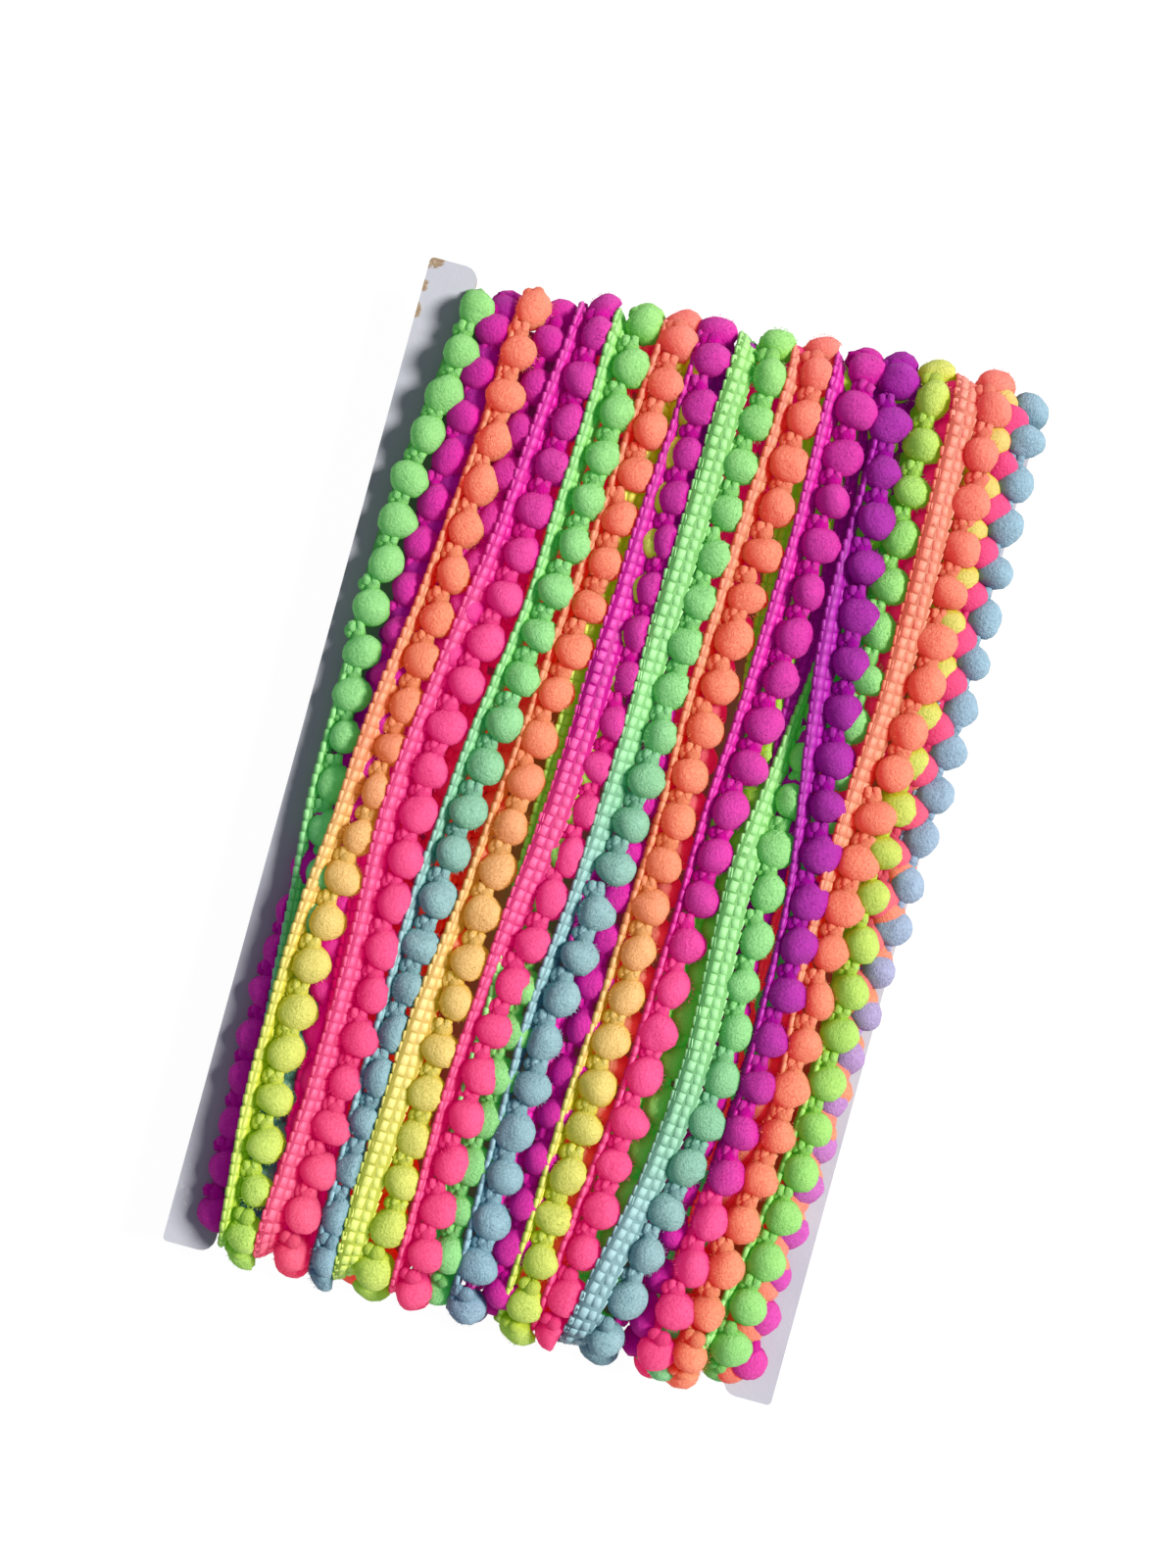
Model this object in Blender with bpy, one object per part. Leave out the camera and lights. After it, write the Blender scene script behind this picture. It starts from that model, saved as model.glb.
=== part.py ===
"""Pompom trim wound lengthwise round a notched board, lying on its back.

The board and the wound trim are two solids. X runs across the board, Y along it towards the
top end and Z up. The sizes are measured from the board's middle, and at the end the whole is
moved so that the origin is under its middle, on the surface it lies on.
"""

import math
from collections import namedtuple

import bmesh
import bpy
from mathutils import Vector

MM = 0.001  # the sizes below are in millimetres

# Board
BOARD_WIDTH = 136.0
BOARD_LENGTH = 220.0
BOARD_THICKNESS = 2.0
BOARD_BOTTOM = 12.5
NOTCH_DEPTH = 10.0
EAR_WIDTH = 11.0
TIP_RADIUS = 1.0
EAR_RADIUS = 3.0
ROOT_RADIUS = 2.0
ARC_STEPS = 4
CLEARANCE = 0.3

# Trim
BALL_RADIUS = 4.0
BALL_PITCH = 9.85
BALLS_EACH_SIDE = 10
BALL_FLAT = 1.6
BALL_FLAT_SHARE = 0.25  # of the room between two rows of balls, where that is less
BALL_TOP = 3.7
BALL_VALLEY = -1.2
END_SHARE = 0.8  # place of a last plain row on the shoulder
END_TOP = 2.2
FOOT_DEPTH = -0.6
BRAID_PLACE = 0.22
FOOT_PLACE = 0.68
SHOULDER = 11.0  # how far before the end the trim starts to curve down
TOP_END = 110.5
TOP_END_SKEW = 0.07
BOTTOM_END = 107.5
RIM_OUT = 2.0
RIM_HEIGHT = 0.5
RIM_INSET = 2.0
RIM_STEP = 1.0

# Where the winding's rim passes the ears
RIM_LEFT = -55.0
RIM_RIGHT_TOP = 66.5
RIM_RIGHT_BOTTOM = 61.0
RIM_TURN_IN = 85.0
RIM_TURNED = 97.0

# Underside
BACK_FLAT_HALF = 2.2
BACK_FLAT_SHARE = 0.3
BACK_SIDE_OUT = 4.5
BACK_VALLEY = 2.6
BACK_SIDE_LEVEL = 5.5
BACK_ROWS = 9
BACK_SHOULDER_ROWS = 3

# The turns that show on the upper face, from left to right. The first five columns are the
# row of pompoms' distance across the board at STATIONS along it. The lifts are the ball
# centres' height over the board near the top end and near the bottom end, braid is the height
# of the braid's raised edge over those centres, and start is the ball nearest the middle.
STATIONS = (105.0, 50.0, 0.0, -50.0, -105.0)
LIFT_HIGH = 50.0
LIFT_LOW = -10.0
Turn = namedtuple("Turn", "name top upper middle lower bottom lift_top lift_bottom braid start")
TURNS = (
    Turn("left rim", -54.5, -59.5, -58.0, -61.5, -56.0, 4.0, 4.0, 0.0, 4.6),
    Turn("coral to lime", -43.3, -44.6, -47.6, -52.0, -50.0, 8.0, 8.5, -0.5, -4.3),
    Turn("magenta to pink", -28.1, -32.5, -38.2, -37.3, -39.8, 8.5, 9.0, 2.2, 3.2),
    Turn("green to blue", -21.0, -23.3, -27.6, -30.7, -31.7, 9.0, 9.0, 2.6, -3.0),
    Turn("second coral to lime", -11.3, -14.3, -18.6, -20.3, -21.8, 9.0, 8.5, 0.5, -3.9),
    Turn("second magenta to pink", -3.4, -2.4, -4.0, -10.8, -12.3, 9.0, 9.0, 2.6, 3.2),
    Turn("second green to blue", 9.1, 7.7, 5.7, 0.0, -0.9, 9.0, 9.0, 2.6, 3.2),
    Turn("third coral to lime", 19.4, 16.9, 14.6, 13.8, 11.0, 9.0, 9.0, 1.0, -2.8),
    Turn("third magenta to pink", 28.8, 29.0, 24.8, 22.9, 18.4, 9.0, 9.0, 1.0, 1.6),
    Turn("third green to blue", 33.8, 36.2, 37.7, 38.3, 29.3, 7.0, 9.0, 1.0, -3.4),
    Turn("violet to pink", 39.4, 44.0, 46.8, 45.8, 40.8, 9.0, 9.5, 2.0, -2.5),
    Turn("last coral to peach", 57.0, 58.0, 54.5, 53.0, 47.6, 9.5, 9.0, 1.5, -2.1),
    Turn("lime to green", 61.0, 63.0, 60.2, 60.6, 55.5, 7.0, 7.5, 0.0, 1.6),
    Turn("right rim", 65.4, 68.8, 66.8, 66.0, 61.4, 5.0, 5.0, 0.0, -3.1),
)

BOARD_COLOUR = (0.56, 0.56, 0.60, 1.0)
TRIM_COLOUR = (0.95, 0.24, 0.30, 1.0)

BOARD_TOP = BOARD_BOTTOM + BOARD_THICKNESS
MIDDLE_HEIGHT = BOARD_BOTTOM + BOARD_THICKNESS / 2


def clear_scene():
    for item in list(bpy.data.objects):
        bpy.data.objects.remove(item, do_unlink=True)


def new_collection(name):
    collection = bpy.data.collections.new(name)
    bpy.context.scene.collection.children.link(collection)
    return collection


def make_material(name, colour, roughness):
    material = bpy.data.materials.new(name)
    material.use_nodes = True
    shader = material.node_tree.nodes["Principled BSDF"]
    shader.inputs["Base Color"].default_value = colour
    shader.inputs["Roughness"].default_value = roughness
    shader.inputs["Metallic"].default_value = 0.0
    return material


# Board


def board_corners(grow):
    """Corners of the board with a notch in each end, anticlockwise, as (x, y, radius)."""
    side = BOARD_WIDTH / 2 + grow
    end = BOARD_LENGTH / 2 + grow
    ear = BOARD_WIDTH / 2 - EAR_WIDTH - grow
    root = BOARD_LENGTH / 2 - NOTCH_DEPTH + grow
    quarter = ((side, end, TIP_RADIUS), (ear, end, EAR_RADIUS), (ear, root, ROOT_RADIUS))
    corners = []
    for sign_x, sign_y in ((1, 1), (-1, 1), (-1, -1), (1, -1)):
        run = [(sign_x * x, sign_y * y, radius) for x, y, radius in quarter]
        corners += run if sign_x == sign_y else run[::-1]
    return corners


def rounded(corners):
    """The outline through the corners, each with its arc."""
    points = []
    for index, (x, y, radius) in enumerate(corners):
        here = Vector((x, y))
        before = (Vector(corners[index - 1][:2]) - here).normalized()
        after = (Vector(corners[(index + 1) % len(corners)][:2]) - here).normalized()
        centre = here + (before + after) * radius
        first = -after * radius
        last = -before * radius
        for step in range(ARC_STEPS + 1):
            angle = step / ARC_STEPS * math.pi / 2
            points.append(centre + first * math.cos(angle) + last * math.sin(angle))
    return points


def board_curve(name, grow):
    outline = rounded(board_corners(grow))
    curve = bpy.data.curves.new(name, "CURVE")
    curve.dimensions = "2D"
    curve.fill_mode = "BOTH"
    curve.extrude = (BOARD_THICKNESS / 2 + grow) * MM
    spline = curve.splines.new("POLY")
    spline.points.add(len(outline) - 1)
    for point, place in zip(spline.points, outline):
        point.co = (place.x * MM, place.y * MM, 0.0, 1.0)
    spline.use_cyclic_u = True
    board = bpy.data.objects.new(name, curve)
    board.location.z = MIDDLE_HEIGHT * MM
    return board


def as_mesh(curve_object, name, collection):
    """A mesh object of the curve's own shape, its caps welded on."""
    collection.objects.link(curve_object)
    graph = bpy.context.evaluated_depsgraph_get()
    mesh = bpy.data.meshes.new_from_object(curve_object.evaluated_get(graph))
    welded = bmesh.new()
    welded.from_mesh(mesh)
    bmesh.ops.remove_doubles(welded, verts=welded.verts, dist=0.00001)
    welded.to_mesh(mesh)
    welded.free()
    made = bpy.data.objects.new(name, mesh)
    made.matrix_world = curve_object.matrix_world
    collection.objects.link(made)
    bpy.data.objects.remove(curve_object, do_unlink=True)
    return made


def make_board(collection):
    board = board_curve("card", 0.0)
    board.data.materials.append(make_material("coated board", BOARD_COLOUR, 0.45))
    collection.objects.link(board)


def make_board_cutter(collection):
    cutter = as_mesh(board_curve("card outline", CLEARANCE), "card clearance", collection)
    cutter.hide_render = True
    cutter.display_type = "WIRE"
    return cutter


# Winding


def blend(edge_low, edge_high, value):
    """Zero at edge_low, one at edge_high and smooth between."""
    share = min(max((value - edge_low) / (edge_high - edge_low), 0.0), 1.0)
    return share * share * (3 - 2 * share)


def across(turn, along):
    """The turn's distance across the board at a distance along it, on one smooth curve."""
    values = turn[1:6]
    along = min(max(along, STATIONS[-1]), STATIONS[0])
    span = 0
    while span < len(STATIONS) - 2 and along < STATIONS[span + 1]:
        span += 1
    share = (STATIONS[span] - along) / (STATIONS[span] - STATIONS[span + 1])
    near = values[span]
    far = values[span + 1]
    before = values[span - 1] if span else 2 * near - far
    after = values[span + 2] if span + 2 < len(values) else 2 * far - near
    slope_near = (far - before) / 2
    slope_far = (after - near) / 2
    return (
        near
        + slope_near * share
        + (3 * (far - near) - 2 * slope_near - slope_far) * share**2
        + (2 * (near - far) + slope_near + slope_far) * share**3
    )


def lift(turn, along):
    return turn.lift_top + (turn.lift_bottom - turn.lift_top) * blend(LIFT_HIGH, LIFT_LOW, along)


def end_reach(place, top):
    """How far from the board's middle the ball centres pass round that end."""
    return TOP_END + TOP_END_SKEW * place if top else BOTTOM_END


def level_length(place, top):
    return end_reach(place, top) - SHOULDER


def shoulder_length(height):
    return math.pi / 2 * math.sqrt((SHOULDER**2 + height**2) / 2)


def wrap(place, height, distance, arc):
    """Point and outward normal, as (along, up), at a distance along one side of the winding.

    The path is level over the board, then a quarter of an ellipse, arc long, to mid height.
    """
    top = distance > 0
    sign = 1 if top else -1
    level = level_length(place, top)
    beyond = abs(distance) - level
    if beyond <= 0:
        return distance, height, 0.0, 1.0
    angle = min(beyond / arc, 1.0) * math.pi / 2
    normal = Vector((math.sin(angle) / SHOULDER, math.cos(angle) / height)).normalized()
    return (
        sign * (level + SHOULDER * math.sin(angle)),
        height * math.cos(angle),
        sign * normal.x,
        normal.y,
    )


def front_point(turn, distance, shift, out):
    """A point on the upper side, shift across from the row of balls and out from its centres."""
    height = BOARD_TOP + lift(turn, distance) - MIDDLE_HEIGHT
    place = across(turn, distance)
    arc = shoulder_length(height)
    along, up, normal_along, normal_up = wrap(place, height, distance, arc)
    return (place + shift, along + out * normal_along, MIDDLE_HEIGHT + up + out * normal_up)


def end_distance(turn, top):
    station = STATIONS[0] if top else STATIONS[-1]
    height = BOARD_TOP + lift(turn, station) - MIDDLE_HEIGHT
    return level_length(across(turn, station), top) + END_SHARE * shoulder_length(height)


def row_distances(turn):
    """Each row's distance and its crest's height over the ball centres, from top to bottom.

    A ball has two rows, with one between it and the next.
    """
    rows = [(end_distance(turn, True), END_TOP)]
    for ball in range(BALLS_EACH_SIDE, -BALLS_EACH_SIDE - 1, -1):
        centre = ball * BALL_PITCH + turn.start
        rows += [(centre + BALL_FLAT, BALL_TOP), (centre - BALL_FLAT, BALL_TOP)]
        if ball > -BALLS_EACH_SIDE:
            rows.append((centre - BALL_PITCH / 2, BALL_VALLEY))
    return rows + [(-end_distance(turn, False), END_TOP)]


def rim_limit(distance, side):
    """How far across the rim lies, drawn in between the ears near the ends."""
    turned = blend(RIM_TURN_IN, RIM_TURNED, abs(distance))
    if side < 0:
        plain = across(TURNS[0], distance) + RIM_INSET
        end = RIM_LEFT
    else:
        plain = min(across(TURNS[-1], distance) - RIM_INSET, RIM_RIGHT_TOP)
        end = RIM_RIGHT_TOP if distance > 0 else RIM_RIGHT_BOTTOM
    return plain + (end - plain) * turned


def front_row(index):
    """One row of points over the upper side, from the left rim to the right one."""
    points = []
    previous = None
    for turn in TURNS:
        distance, out = row_distances(turn)[index]
        place = across(turn, distance)
        flat = BALL_FLAT
        if previous is not None:
            beside = across(previous, distance)
            flat = min(flat, BALL_FLAT_SHARE * (place - beside))
            start = beside + flat
            room = place - flat - start
            braid = start + BRAID_PLACE * room - place
            foot = start + FOOT_PLACE * room - place
            points.append(front_point(turn, distance, braid, turn.braid))
            points.append(front_point(turn, distance, foot, FOOT_DEPTH))
        points.append(front_point(turn, distance, -flat, out))
        points.append(front_point(turn, distance, flat, out))
        previous = turn
    for turn, side in ((TURNS[0], -1), (TURNS[-1], 1)):
        distance = row_distances(turn)[index][0]
        bulge = front_point(turn, distance, side * BALL_RADIUS, 0.0)
        rim = (rim_limit(distance, side), bulge[1], MIDDLE_HEIGHT + RIM_HEIGHT)
        if side < 0:
            points = [rim, bulge] + points
        else:
            points += [bulge, rim]
    return points


def rim_row(nearest, top, height):
    """A row round one end at mid height, each point in line with one of the nearest row's."""
    right = RIM_RIGHT_TOP if top else RIM_RIGHT_BOTTOM
    places = [point[0] for point in nearest[2:-2]]
    share = (right - RIM_LEFT - 4 * RIM_STEP) / (places[-1] - places[0])
    inner = [RIM_LEFT + 2 * RIM_STEP + (place - places[0]) * share for place in places]
    spread = [RIM_LEFT, RIM_LEFT + RIM_STEP] + inner + [right - RIM_STEP, right]
    sign = 1 if top else -1
    return [(place, sign * (end_reach(place, top) + RIM_OUT), height) for place in spread]


def with_rims(rows, height):
    return [rim_row(rows[0], True, height)] + rows + [rim_row(rows[-1], False, height)]


def front_rows():
    rows = [front_row(index) for index in range(len(row_distances(TURNS[0])))]
    return with_rims(rows, MIDDLE_HEIGHT + RIM_HEIGHT)


def back_distances():
    """Rows under the winding from the top end to the bottom one."""
    level = level_length(0.0, False)
    step = shoulder_length(MIDDLE_HEIGHT) / (BACK_SHOULDER_ROWS + 1)
    shoulder = [level + step * row for row in range(BACK_SHOULDER_ROWS, 0, -1)]
    middle = [level * (1 - 2 * row / (BACK_ROWS - 1)) for row in range(BACK_ROWS)]
    return shoulder + middle + [-distance for distance in reversed(shoulder)]


def back_point(place, distance, level):
    """A point on the underside, level above the surface where the winding rests."""
    depth = MIDDLE_HEIGHT - level
    along, down = wrap(place, depth, distance, shoulder_length(MIDDLE_HEIGHT))[:2]
    return (place, along, MIDDLE_HEIGHT - down)


def back_row(distance):
    """One row of the underside: each turn goes on to where the next one starts."""
    share = 0.5 - 0.5 * distance / (BOTTOM_END + RIM_OUT)
    crests = []
    for turn, following in zip(TURNS[:-1], TURNS[1:]):
        crests.append(following.top + (turn.bottom - following.top) * share)
    gaps = [high - low for low, high in zip(crests[:-1], crests[1:])]
    row = []
    for index, crest in enumerate(crests):
        left_gap = gaps[max(index - 1, 0)]
        right_gap = gaps[min(index, len(gaps) - 1)]
        flat_left = min(BACK_FLAT_HALF, BACK_FLAT_SHARE * left_gap)
        flat_right = min(BACK_FLAT_HALF, BACK_FLAT_SHARE * right_gap)
        row.append(back_point(crest - flat_left, distance, 0.0))
        row.append(back_point(crest + flat_right, distance, 0.0))
        row.append(back_point(crest + right_gap / 2, distance, BACK_VALLEY))
    sides = []
    for sign, crest in ((-1, crests[0]), (1, crests[-1])):
        rim_place = rim_limit(distance, sign)
        side_place = sign * max(sign * rim_place + RIM_INSET, sign * crest + BACK_SIDE_OUT)
        side = back_point(side_place, distance, BACK_SIDE_LEVEL)
        sides.append([(rim_place, side[1], MIDDLE_HEIGHT - RIM_HEIGHT), side])
    return sides[0] + row[:-1] + sides[1][::-1]


def back_rows():
    rows = [back_row(distance) for distance in back_distances()]
    return with_rims(rows, MIDDLE_HEIGHT - RIM_HEIGHT)


def add_sheet(points, faces, rows):
    """Adds a grid of points with its faces, and returns the numbers of its points."""
    numbers = []
    for row in rows:
        numbers.append(list(range(len(points), len(points) + len(row))))
        points += row
    for upper, lower in zip(numbers[:-1], numbers[1:]):
        for column in range(len(upper) - 1):
            a, b = upper[column], upper[column + 1]
            c, d = lower[column + 1], lower[column]
            faces += [(a, b, c), (a, c, d)]
    return numbers


def zip_edges(faces, first, second, points, axis):
    """Closes the strip between two edges of unlike point counts that run along one axis."""
    i = 0
    j = 0
    start = points[first[0]][axis]
    sign = 1 if points[first[-1]][axis] > start else -1
    while i < len(first) - 1 or j < len(second) - 1:
        if j == len(second) - 1:
            step_first = True
        elif i == len(first) - 1:
            step_first = False
        else:
            step_first = sign * points[first[i + 1]][axis] <= sign * points[second[j + 1]][axis]
        if step_first:
            faces.append((first[i], first[i + 1], second[j]))
            i += 1
        else:
            faces.append((first[i], second[j + 1], second[j]))
            j += 1


def make_winding(collection, cutter):
    """The wound trim as one body: an upper and an under sheet, joined round the rim."""
    points = []
    faces = []
    front = add_sheet(points, faces, front_rows())
    back = add_sheet(points, faces, back_rows())
    zip_edges(faces, front[0], back[0], points, 0)
    zip_edges(faces, front[-1], back[-1], points, 0)
    zip_edges(faces, [row[0] for row in front], [row[0] for row in back], points, 1)
    zip_edges(faces, [row[-1] for row in front], [row[-1] for row in back], points, 1)
    mesh = bpy.data.meshes.new("winding")
    mesh.from_pydata([tuple(value * MM for value in point) for point in points], [], faces)
    body = bmesh.new()
    body.from_mesh(mesh)
    bmesh.ops.recalc_face_normals(body, faces=body.faces)
    body.to_mesh(mesh)
    body.free()
    mesh.shade_smooth()
    mesh.materials.append(make_material("neon trim", TRIM_COLOUR, 0.9))
    winding = bpy.data.objects.new("winding", mesh)
    collection.objects.link(winding)
    cut = winding.modifiers.new("room for the board", "BOOLEAN")
    cut.operation = "DIFFERENCE"
    cut.object = cutter


def set_on_origin(collections):
    """Hangs every object on one empty and moves it, so that the origin is under the middle."""
    middle = bpy.data.objects.new("middle of the board", None)
    collections[0].objects.link(middle)
    bpy.context.view_layer.update()
    graph = bpy.context.evaluated_depsgraph_get()
    lowest = Vector((math.inf, math.inf))
    highest = Vector((-math.inf, -math.inf))
    for item in collections[0].objects:
        if item is middle:
            continue
        evaluated = item.evaluated_get(graph)
        for vertex in evaluated.to_mesh().vertices:
            place = evaluated.matrix_world @ vertex.co
            lowest = Vector(map(min, lowest, place.xy))
            highest = Vector(map(max, highest, place.xy))
        evaluated.to_mesh_clear()
    for collection in collections:
        for item in collection.objects:
            if item is not middle:
                item.parent = middle
    middle.location.xy = -(lowest + highest) / 2


def main():
    clear_scene()
    parts = new_collection("pompom trim on a card")
    cutters = new_collection("cutters")
    make_board(parts)
    make_winding(parts, make_board_cutter(cutters))
    set_on_origin((parts, cutters))


main()
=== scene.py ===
# Pompom trim in neon colours, wound lengthwise round a notched card that lies on its back.
# Every size below is in millimetres, measured from the middle of the card: x across it,
# y towards its top end, z up from the table.

import math
from collections import namedtuple

import bmesh
import bpy
import numpy as np
from mathutils import Matrix, Vector


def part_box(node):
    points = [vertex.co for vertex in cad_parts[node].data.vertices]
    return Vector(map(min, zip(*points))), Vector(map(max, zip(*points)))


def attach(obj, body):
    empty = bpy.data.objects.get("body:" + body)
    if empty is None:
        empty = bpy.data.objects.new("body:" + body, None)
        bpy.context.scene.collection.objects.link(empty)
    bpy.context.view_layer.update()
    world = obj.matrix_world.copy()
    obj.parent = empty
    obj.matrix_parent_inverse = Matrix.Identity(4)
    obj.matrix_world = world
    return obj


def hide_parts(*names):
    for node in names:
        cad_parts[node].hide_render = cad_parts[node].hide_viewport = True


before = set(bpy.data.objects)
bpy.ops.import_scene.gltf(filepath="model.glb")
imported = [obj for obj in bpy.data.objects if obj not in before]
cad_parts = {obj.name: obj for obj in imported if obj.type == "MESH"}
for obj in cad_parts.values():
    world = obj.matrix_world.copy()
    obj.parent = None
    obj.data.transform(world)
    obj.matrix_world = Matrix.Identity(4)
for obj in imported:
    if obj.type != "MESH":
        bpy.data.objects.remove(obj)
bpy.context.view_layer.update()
print("frame loaded")

mm = 0.001
cardLow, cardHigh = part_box("card")
cardMiddle = Vector(((cardLow.x + cardHigh.x) / 2, (cardLow.y + cardHigh.y) / 2, 0.0))


# Winding

winding = {
    "stations": (105.0, 50.0, 0.0, -50.0, -105.0),  # where a strand's places are given
    "cardTop": 14.5,
    "middleHeight": 13.5,  # of the card's own middle
    "topEnd": 110.5,  # how far the pompoms pass beyond the card's middle
    "topEndSkew": 0.07,
    "bottomEnd": 107.5,
    "shoulder": 11.0,  # how far before the end a strand starts to turn down
    "innerInset": 3.6,  # the lower layer turns this much nearer the card
    "liftBlend": (-10.0, 50.0),
    "backDepthOuter": 9.7,  # under the card's middle
    "backDepthInner": 5.0,
    "backHalf": 109.5,
    "backShow": 2.6,
    "backEnd": (60.0, 105.0),
    "backPitch": 9.85,
    "restHeight": 0.15,  # the turns underneath are pressed level here
}
# places in the run of colours: past the first it starts again, past the second lies the pale
# stretch of the last strand, which doesn't
dye = {
    "wrapFrom": 1.06,
    "paleFrom": 1.12,
}

# The strands of the upper layer, from left to right. places is where the pompoms lie across
# the card at the stations, lifts their height over the card at the top and bottom end, show
# the width of braid seen at each station, hues the places in the run of colours at even steps
# from the top end to the bottom one (one run is 1), start the pompom nearest the card's middle,
# and pitch their spacing.
Strand = namedtuple("Strand", "name places lifts show hues start pitch")
upperStrands = (
    Strand("coralToLime", (-43.3, -44.6, -47.6, -52.0, -50.0), (8.0, 8.5),
           (-1.0, 1.2, 4.0, 2.8, 2.3), (0.00, 0.08, 0.135, 0.215, 0.27), -4.3, 9.82),
    Strand("magentaToPink", (-28.0, -31.8, -38.2, -37.3, -39.8), (8.5, 9.0),
           (2.4, 4.5, 3.9, 4.8, 4.5), (0.69, 0.755, 0.86, 0.92, 0.955), 3.2, 9.85),
    Strand("greenToBlue", (-19.2, -21.8, -27.6, -30.7, -31.7), (9.0, 9.0),
           (3.5, 2.5, 2.8, 1.0, 0.2), (0.32, 0.55), -3.0, 10.0),
    Strand("secondCoral", (-11.3, -14.3, -18.6, -20.3, -21.8), (9.0, 8.5),
           (1.0, 1.4, 1.3, 5.0, 5.5), (-0.04, 0.05, 0.135, 0.187, 0.25), -3.9, 9.9),
    Strand("secondMagenta", (-3.4, -2.4, -4.0, -10.8, -12.3), (9.0, 9.0),
           (0.3, 5.3, 5.8, 3.2, 1.5), (0.70, 0.69, 0.79, 0.90, 0.93), 3.2, 9.92),
    Strand("secondGreen", (9.1, 7.7, 5.7, 0.0, -0.9), (9.0, 9.0),
           (5.2, 5.8, 4.4, 1.6, 0.3), (0.31, 0.57), 3.2, 9.92),
    Strand("thirdCoral", (19.4, 16.9, 14.6, 13.8, 11.0), (9.0, 9.0),
           (3.6, 2.8, 0.8, 1.9, 1.4), (-0.04, 0.04, 0.11, 0.195, 0.245), -2.8, 9.87),
    Strand("thirdMagenta", (28.8, 29.0, 24.8, 22.9, 18.4), (9.0, 9.0),
           (3.3, 4.0, 1.3, 1.0, 1.0), (0.70, 0.70, 0.71, 0.86, 0.92), 1.6, 9.88),
    Strand("thirdGreen", (36.0, 39.6, 37.5, 38.3, 29.3), (4.5, 9.0),
           (-2.0, 1.4, 5.7, 5.85, 5.85), (0.24, 0.50), -3.4, 10.1),
    Strand("violetToPink", (36.1, 41.9, 46.6, 45.8, 40.8), (9.0, 9.5),
           (-1.5, 4.2, 2.2, -1.0, -1.5),
           (0.61, 0.61, 0.61, 0.615, 0.62, 0.635, 0.70, 0.84, 0.93), -2.5, 10.2),
    Strand("rightLime", (44.3, 46.0, 46.0, 44.0, 43.0), (8.3, 4.0),
           (-2.0, -2.0, -1.0, 1.0, 2.0), (0.215, 0.33, 0.40, 0.41, 0.42), -4.8, 10.2),
    Strand("lastCoral", (57.0, 58.0, 54.5, 53.0, 47.6), (9.5, 9.0),
           (5.3, 5.85, 3.2, -0.8, -0.8), (-0.03, 0.09), -2.1, 10.04),
)
lowerStrands = (
    Strand("leftPurple", (-49.0, -51.0, -55.5, -59.6, -57.5), (2.6, 2.8),
           (-2.0, -2.0, -2.0, -2.0, -2.0), (0.66, 0.67), -4.3, 9.58),
    Strand("leftGreen", (-54.1, -59.6, -57.6, -52.0, -48.5), (5.5, 4.5),
           (-2.0, -2.0, 0.8, 3.8, 2.5), (0.34, 0.47), 4.6, 9.61),
    Strand("leftMagenta", (-49.3, -52.8, -51.0, -46.9, -39.0), (4.8, 4.8),
           (-2.0, -2.0, -2.0, -1.5, 5.2), (0.69, 0.80), 0.7, 9.69),
    Strand("underMagenta", (-37.8, -39.5, -42.0, -38.0, -33.0), (6.5, 3.5),
           (-2.0, 1.0, 5.0, 5.0, 5.0), (0.71, 0.90), -1.0, 9.85),
    Strand("underLime", (-26.0, -29.5, -34.0, -29.0, -26.0), (3.0, 4.0),
           (0.5, 3.0, 5.5, 5.5, 5.5), (0.90, 1.05), 2.0, 9.85),
    Strand("underRed", (-18.0, -20.0, -23.0, -24.0, -21.0), (4.0, 4.0),
           (5.5, 5.5, 5.5, 5.5, 5.5), (-0.06, 0.04), -2.0, 9.85),
    Strand("underOlive", (-5.0, -6.0, -7.0, -6.8, -7.6), (6.5, 7.0),
           (5.5, 5.0, 5.0, 3.5, 3.0), (0.19, 0.215, 0.27, 0.38, 0.40), 3.0, 9.85),
    Strand("underPurple", (4.0, 6.0, 7.3, 7.2, 5.0), (4.5, 6.5),
           (5.5, 5.5, 5.0, 4.0, 4.0), (0.60, 0.66, 0.71, 0.71, 0.73), -2.0, 9.85),
    Strand("underCoral", (14.0, 15.0, 17.0, 16.0, 14.0), (4.0, 4.0),
           (5.5, 5.5, 3.0, 2.5, 2.5), (0.92, 1.04), 1.0, 9.85),
    Strand("underGreen", (25.0, 29.0, 30.5, 28.2, 26.0), (3.0, 5.5),
           (5.5, 5.5, 5.0, 5.0, 5.0), (0.24, 0.34), -4.0, 9.85),
    Strand("underViolet", (39.0, 39.0, 39.0, 38.7, 36.8), (4.0, 4.5),
           (5.0, 5.0, 4.0, 3.0, 3.0), (0.64, 0.64, 0.66, 0.70, 0.71), 0.5, 9.85),
    Strand("rightRed", (48.7, 51.5, 48.5, 48.0, 46.0), (5.5, 4.0),
           (2.0, 4.5, 4.5, 4.0, 4.0), (0.92, 1.04), 2.0, 9.85),
    Strand("rightYellow", (58.5, 60.0, 59.6, 60.5, 55.3), (6.5, 8.0),
           (-2.0, -2.0, -2.0, 0.2, 3.6), (0.18, 0.20, 0.235, 0.30, 0.34), 1.6, 10.07),
    Strand("rightPink", (61.2, 63.0, 61.6, 61.0, 57.0), (6.0, 4.5),
           (-2.0, -2.0, -2.0, -2.0, -2.0), (0.88, 0.93, 1.00, 1.05), 1.9, 9.6),
    Strand("edgeCoral", (58.0, 63.0, 63.8, 61.9, 58.0), (3.0, 3.6),
           (-2.0, -2.0, -2.0, -2.0, -2.0), (1.0, 1.1), -1.0, 9.85),
    Strand("rightBlue", (65.3, 67.1, 65.8, 62.3, 60.3), (5.5, 4.6),
           (1.5, 1.5, 1.0, -0.6, -1.5), (1.24, 1.25, 1.29, 1.37, 1.44), -3.1, 9.79),
)


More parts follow.
